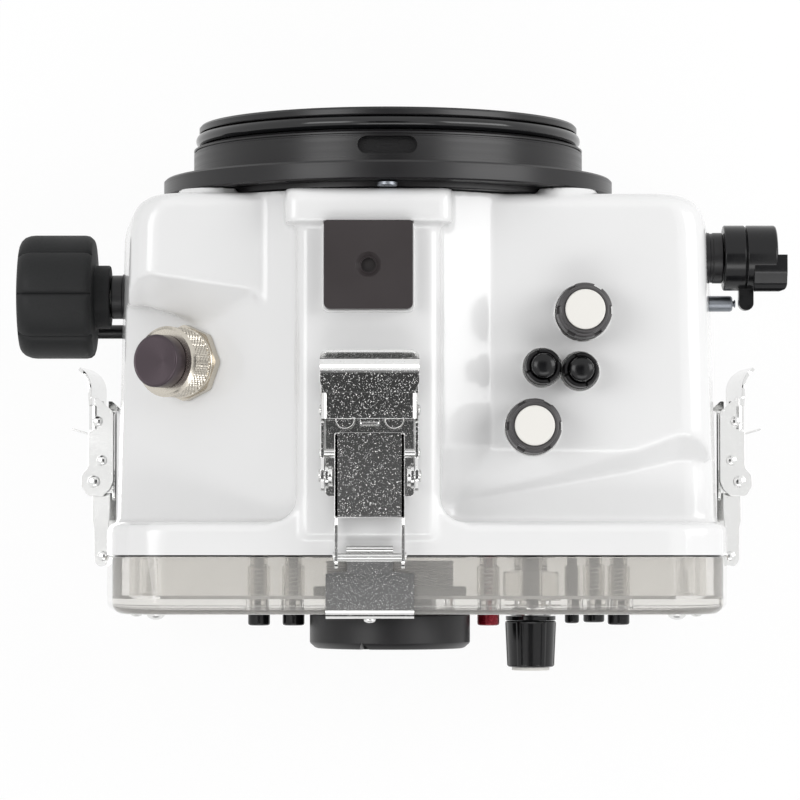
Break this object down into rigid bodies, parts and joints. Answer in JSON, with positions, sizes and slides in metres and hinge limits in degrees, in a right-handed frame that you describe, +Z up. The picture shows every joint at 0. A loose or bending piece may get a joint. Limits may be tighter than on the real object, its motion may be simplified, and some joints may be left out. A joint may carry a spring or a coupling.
{
  "type": "underwater camera housing",
  "caption": "White moulded underwater camera housing with a clear back, draw latches, a round lens port mount and sealed outside controls.",
  "frame": {"origin": "underside of the base plate, below the middle of the body", "axes": "+X to the viewer's right, the side with the shutter lever; +Y towards the lens port; +Z up, out of the top deck"},
  "size_m": [0.2838, 0.2036, 0.1796],
  "materials": {
    "white_shell": "glossy moulded, white",
    "clear_polycarbonate": "clear, polished",
    "black_anodised": "satin black anodised",
    "black_plastic": "moulded, satin black",
    "grip_rubber": "soft moulded, fine grain",
    "seal_rubber": "smooth black nitrile",
    "stainless": "pressed stainless steel, polished",
    "nickel": "knurled, nickel plated",
    "tray_aluminium": "satin, natural",
    "shaft_steel": "turned steel",
    "cream_plastic": "printed disc, cream, blank",
    "grey_plastic": "moulded, dark grey",
    "red_plastic": "moulded, deep red",
    "lens_glass": "polished glass"
  },
  "bodies": {
    "housing": {"housing_body": "white_shell", "port_mount_ring": "black_anodised", "port_o_ring": "seal_rubber", "port_index_pin": "shaft_steel", "accessory_plate": "black_anodised", "base_plate": "black_anodised", "camera_tray": "tray_aluminium", "zoom_gland": "black_anodised", "release_gland": "black_anodised", "shutter_gland": "black_anodised", "shutter_stop_post": "stainless", "front_dial_gland": "black_anodised", "rear_dial_gland": "black_anodised", "mode_button_collar": "black_anodised", "iso_button_collar": "black_anodised", "strobe_connector": "nickel", "strobe_connector_nut": "nickel", "top_latch_bracket": "stainless", "left_latch_bracket": "stainless", "right_latch_bracket": "stainless"},
    "back": {"clear_back": "clear_polycarbonate", "main_gasket": "seal_rubber", "eyepiece_ring": "black_anodised", "eyepiece_glass": "lens_glass", "eyepiece_nut": "black_anodised", "top_latch_keeper": "stainless", "left_latch_keeper": "stainless", "right_latch_keeper": "stainless", "top_keeper_screw": "stainless", "left_keeper_screw": "stainless", "right_keeper_screw": "stainless"},
    "camera_screw": {"camera_screw": "shaft_steel"},
    "zoom_control": {"zoom_knob": "grip_rubber", "zoom_shaft": "shaft_steel", "zoom_gear": "black_plastic"},
    "release": {"release_button": "black_anodised"},
    "shutter": {"shutter_lever": "black_anodised", "shutter_inner_arm": "tray_aluminium"},
    "front_dial": {"front_dial_knob": "grey_plastic", "front_dial_cap": "cream_plastic"},
    "rear_dial": {"rear_dial_knob": "grey_plastic", "rear_dial_cap": "cream_plastic"},
    "mode": {"mode_button": "black_plastic"},
    "iso": {"iso_button": "black_plastic"},
    "connector_cap": {"strobe_connector_cap": "black_anodised"},
    "rear_wheel": {"rear_wheel_knob": "black_plastic", "rear_wheel_cap": "cream_plastic"},
    "top_lever": {"top_latch_lever": "stainless"},
    "top_link": {"top_latch_link": "stainless"},
    "left_lever": {"left_latch_lever": "stainless"},
    "left_link": {"left_latch_link": "stainless"},
    "right_lever": {"right_latch_lever": "stainless"},
    "right_link": {"right_latch_link": "stainless"},
    "menu": {"menu_button": "black_plastic"},
    "info": {"info_button": "black_plastic"},
    "record": {"record_button": "red_plastic"},
    "playback": {"playback_button": "black_plastic"},
    "delete": {"delete_button": "black_plastic"},
    "select": {"select_button": "black_plastic"}
  },
  "joints": [
    {"name": "back_slide", "type": "slide", "parent": "housing", "child": "back", "axis": [0, -1, 0], "range_m": [0, 0.032]},
    {"name": "top_latch_open", "type": "hinge", "parent": "housing", "child": "top_lever", "pos_m": [-0.0171, -0.0366, 0.1724], "axis": [1, 0, 0], "range_deg": [0, 100.5]},
    {"name": "top_link_fold", "type": "hinge", "parent": "top_lever", "child": "top_link", "pos_m": [-0.0171, -0.0285, 0.1693], "axis": [1, 0, 0], "range_deg": [-130.5, 0]},
    {"name": "left_latch_open", "type": "hinge", "parent": "housing", "child": "left_lever", "pos_m": [-0.12277, -0.0366, 0.03424], "axis": [-0.0905, 0, 0.9959], "range_deg": [0, 100.5]},
    {"name": "left_link_fold", "type": "hinge", "parent": "left_lever", "child": "left_link", "pos_m": [-0.11969, -0.0285, 0.03452], "axis": [-0.0905, 0, 0.9959], "range_deg": [-130.5, 0]},
    {"name": "right_latch_open", "type": "hinge", "parent": "housing", "child": "right_lever", "pos_m": [0.12277, -0.0366, 0.03424], "axis": [-0.0905, 0, -0.9959], "range_deg": [0, 100.5]},
    {"name": "right_link_fold", "type": "hinge", "parent": "right_lever", "child": "right_link", "pos_m": [0.11969, -0.0285, 0.03452], "axis": [-0.0905, 0, -0.9959], "range_deg": [-130.5, 0]},
    {"name": "zoom_turn", "type": "hinge", "parent": "housing", "child": "zoom_control", "pos_m": [-0.12, 0.03205, 0.088], "axis": [1, 0, 0], "continuous": true},
    {"name": "front_dial_turn", "type": "hinge", "parent": "housing", "child": "front_dial", "pos_m": [0.0594, 0.0226, 0.16], "axis": [0, 0, 1], "continuous": true},
    {"name": "rear_dial_turn", "type": "hinge", "parent": "housing", "child": "rear_dial", "pos_m": [0.0414, -0.0187, 0.16], "axis": [0, 0, 1], "continuous": true},
    {"name": "rear_wheel_turn", "type": "hinge", "parent": "back", "child": "rear_wheel", "pos_m": [0.0424, -0.096, 0.092], "axis": [0, 1, 0], "continuous": true},
    {"name": "camera_screw_turn", "type": "hinge", "parent": "housing", "child": "camera_screw", "pos_m": [-0.0109, -0.014, 0.016], "axis": [0, 0, 1], "continuous": true},
    {"name": "shutter_press", "type": "hinge", "parent": "housing", "child": "shutter", "pos_m": [0.118, 0.0443, 0.12], "axis": [1, 0, 0], "range_deg": [0, 15], "stiffness_Nm_per_rad": 0.4},
    {"name": "release_press", "type": "slide", "parent": "housing", "child": "release", "axis": [1, 0, 0], "range_m": [0, 0.004], "stiffness_N_per_m": 400},
    {"name": "mode_press", "type": "slide", "parent": "housing", "child": "mode", "axis": [0, 0, -1], "range_m": [0, 0.003], "stiffness_N_per_m": 400},
    {"name": "iso_press", "type": "slide", "parent": "housing", "child": "iso", "axis": [0, 0, -1], "range_m": [0, 0.003], "stiffness_N_per_m": 400},
    {"name": "connector_cap_off", "type": "slide", "parent": "housing", "child": "connector_cap", "axis": [-0.515, 0, 0.8572], "range_m": [0, 0.014]},
    {"name": "menu_press", "type": "slide", "parent": "back", "child": "menu", "axis": [0, 1, 0], "range_m": [0, 0.0025], "stiffness_N_per_m": 400},
    {"name": "info_press", "type": "slide", "parent": "back", "child": "info", "axis": [0, 1, 0], "range_m": [0, 0.0025], "stiffness_N_per_m": 400},
    {"name": "record_press", "type": "slide", "parent": "back", "child": "record", "axis": [0, 1, 0], "range_m": [0, 0.0025], "stiffness_N_per_m": 400},
    {"name": "playback_press", "type": "slide", "parent": "back", "child": "playback", "axis": [0, 1, 0], "range_m": [0, 0.0025], "stiffness_N_per_m": 400},
    {"name": "delete_press", "type": "slide", "parent": "back", "child": "delete", "axis": [0, 1, 0], "range_m": [0, 0.0025], "stiffness_N_per_m": 400},
    {"name": "select_press", "type": "slide", "parent": "back", "child": "select", "axis": [0, 1, 0], "range_m": [0, 0.0025], "stiffness_N_per_m": 400}
  ],
  "couplings": [
    {"joint": "top_latch_open", "follows": "back_slide", "rad_per_m": 54.541},
    {"joint": "top_link_fold", "follows": "back_slide", "rad_per_m": -70.904},
    {"joint": "left_latch_open", "follows": "back_slide", "rad_per_m": 54.541},
    {"joint": "left_link_fold", "follows": "back_slide", "rad_per_m": -70.904},
    {"joint": "right_latch_open", "follows": "back_slide", "rad_per_m": 54.541},
    {"joint": "right_link_fold", "follows": "back_slide", "rad_per_m": -70.904}
  ]
}
